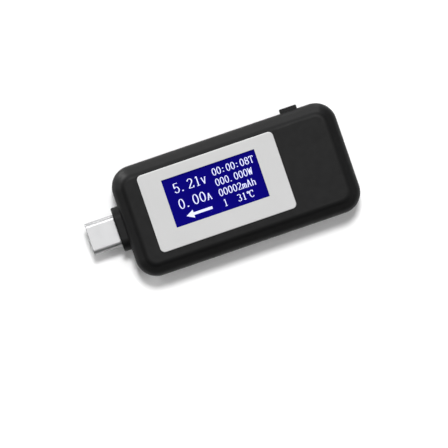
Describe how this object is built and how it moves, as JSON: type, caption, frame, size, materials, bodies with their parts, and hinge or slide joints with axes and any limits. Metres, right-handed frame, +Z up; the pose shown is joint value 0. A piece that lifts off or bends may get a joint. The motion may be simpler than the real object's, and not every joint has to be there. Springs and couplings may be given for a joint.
{
  "type": "usb power meter",
  "caption": "Small in-line USB-C power meter: black housing with a plug at one end, a socket at the other, a blue display in a grey faceplate and a side push button.",
  "frame": {"origin": "centre of the housing's flat underside", "axes": "+X along the body from the plug end to the socket end, +Y towards the long side that the button is in, +Z up through the display"},
  "size_m": [0.069, 0.0301, 0.0125],
  "materials": {
    "housing_black": "fine matte moulded texture",
    "button_black": "fine matte moulded texture",
    "faceplate_grey": "satin light grey",
    "window_clear": "polished clear",
    "display_blue": "smooth film",
    "lcd_glass": "polished",
    "plug_steel": "bright nickel plate",
    "socket_steel": "nickel plate",
    "insulator_black": "moulded",
    "contact_gold": "gold plate",
    "spring_steel": "plain",
    "board_green": "solder mask",
    "chip_black": "moulded epoxy",
    "resistor_black": "glazed top",
    "capacitor_tan": "plain",
    "crystal_can": "plain can",
    "silicon": "polished",
    "flex_amber": "smooth film",
    "guide_clear": "clear acrylic",
    "reflector_white": "white film",
    "frame_white": "moulded",
    "led_white": "moulded",
    "foam_grey": "foam"
  },
  "bodies": {
    "meter": {"top_shell": "housing_black", "bottom_shell": "housing_black", "faceplate": "faceplate_grey", "display_window": "window_clear", "lcd_front_polarizer": "display_blue", "lcd_front_glass": "lcd_glass", "lcd_rear_glass": "lcd_glass", "lcd_rear_polarizer": "display_blue", "lcd_driver_chip": "silicon", "lcd_flex_tail": "flex_amber", "light_guide": "guide_clear", "reflector_sheet": "reflector_white", "backlight_leds": "led_white", "backlight_frame": "frame_white", "display_foam_pad": "foam_grey", "plug_collar": "housing_black", "plug_shell": "plug_steel", "plug_insulator": "insulator_black", "plug_latch": "spring_steel", "plug_upper_contacts": "contact_gold", "plug_lower_contacts": "contact_gold", "socket_shell": "socket_steel", "socket_tongue": "insulator_black", "socket_upper_contacts": "contact_gold", "socket_lower_contacts": "contact_gold", "switch_body": "chip_black", "switch_spring": "spring_steel", "main_board": "board_green", "microcontroller": "chip_black", "voltage_regulator": "chip_black", "protection_diode": "chip_black", "crystal": "crystal_can", "shunt_resistor": "resistor_black", "memory_chip": "chip_black", "current_amplifier": "chip_black", "capacitors": "capacitor_tan", "resistors": "resistor_black"},
    "button": {"button_cap": "button_black", "switch_plunger": "insulator_black"}
  },
  "joints": [
    {"name": "button_press", "type": "slide", "parent": "meter", "child": "button", "axis": [0, -1, 0], "range_m": [0, 0.0005], "stiffness_N_per_m": 600, "springref_m": -0.001, "deforming": ["switch_spring"]}
  ]
}
